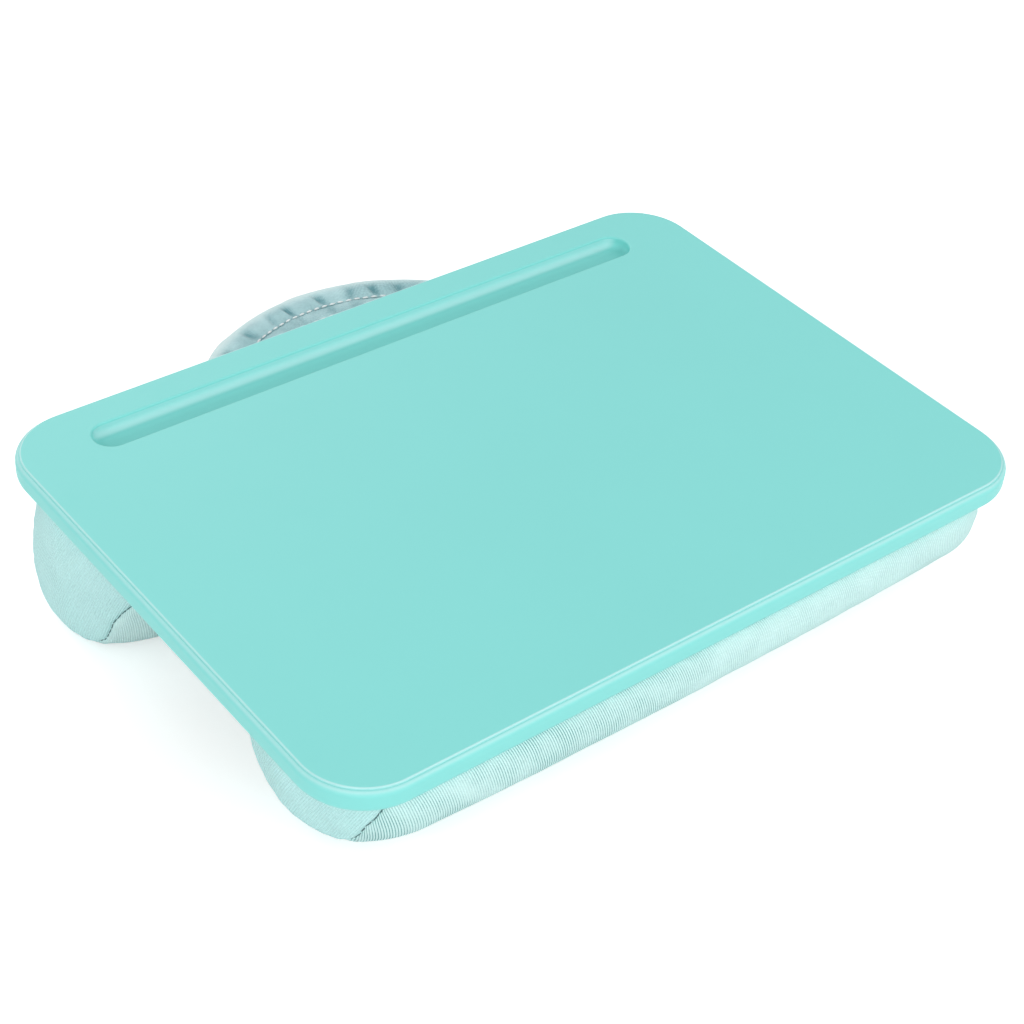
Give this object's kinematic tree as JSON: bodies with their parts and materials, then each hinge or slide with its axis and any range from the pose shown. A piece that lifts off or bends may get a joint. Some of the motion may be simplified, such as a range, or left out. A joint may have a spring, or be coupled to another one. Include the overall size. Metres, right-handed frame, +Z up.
{
  "type": "lap desk",
  "caption": "Portable lap desk: a moulded top with a pen groove on a sewn cushion with two stuffed bolsters and a fabric carrying handle at the back.",
  "frame": {"origin": "middle of the outline seen from above, on the surface that the desk stands on", "axes": "+X to the user's right along the desk, +Y away from the user towards the handle, +Z up"},
  "size_m": [0.366, 0.3048, 0.0879],
  "materials": {
    "moulded_plastic": "satin",
    "cushion_cloth": "ribbed weave",
    "fibre_board": "raw",
    "steel": "zinc plated",
    "filling": "plain",
    "webbing": "woven"
  },
  "bodies": {
    "desk": {"desk_top": "moulded_plastic", "backing_panel": "fibre_board", "panel_screws": "steel", "cover_hem": "cushion_cloth", "hem_staples": "steel", "valley_cloth": "cushion_cloth", "front_bolster_cover": "cushion_cloth", "front_left_end": "cushion_cloth", "front_right_end": "cushion_cloth", "front_pillow": "filling", "rear_bolster_cover": "cushion_cloth", "rear_left_end": "cushion_cloth", "rear_right_end": "cushion_cloth", "rear_pillow": "filling", "handle_left_tab": "cushion_cloth", "handle_right_tab": "cushion_cloth"},
    "handle": {"handle_strap": "cushion_cloth", "handle_webbing": "webbing"}
  },
  "joints": [
    {"name": "handle_hinge", "type": "hinge", "parent": "desk", "child": "handle", "pos_m": [0, 0.11081, 0.06864], "axis": [1, 0, 0], "range_deg": [-70, 65], "stiffness_Nm_per_rad": 0.25}
  ]
}
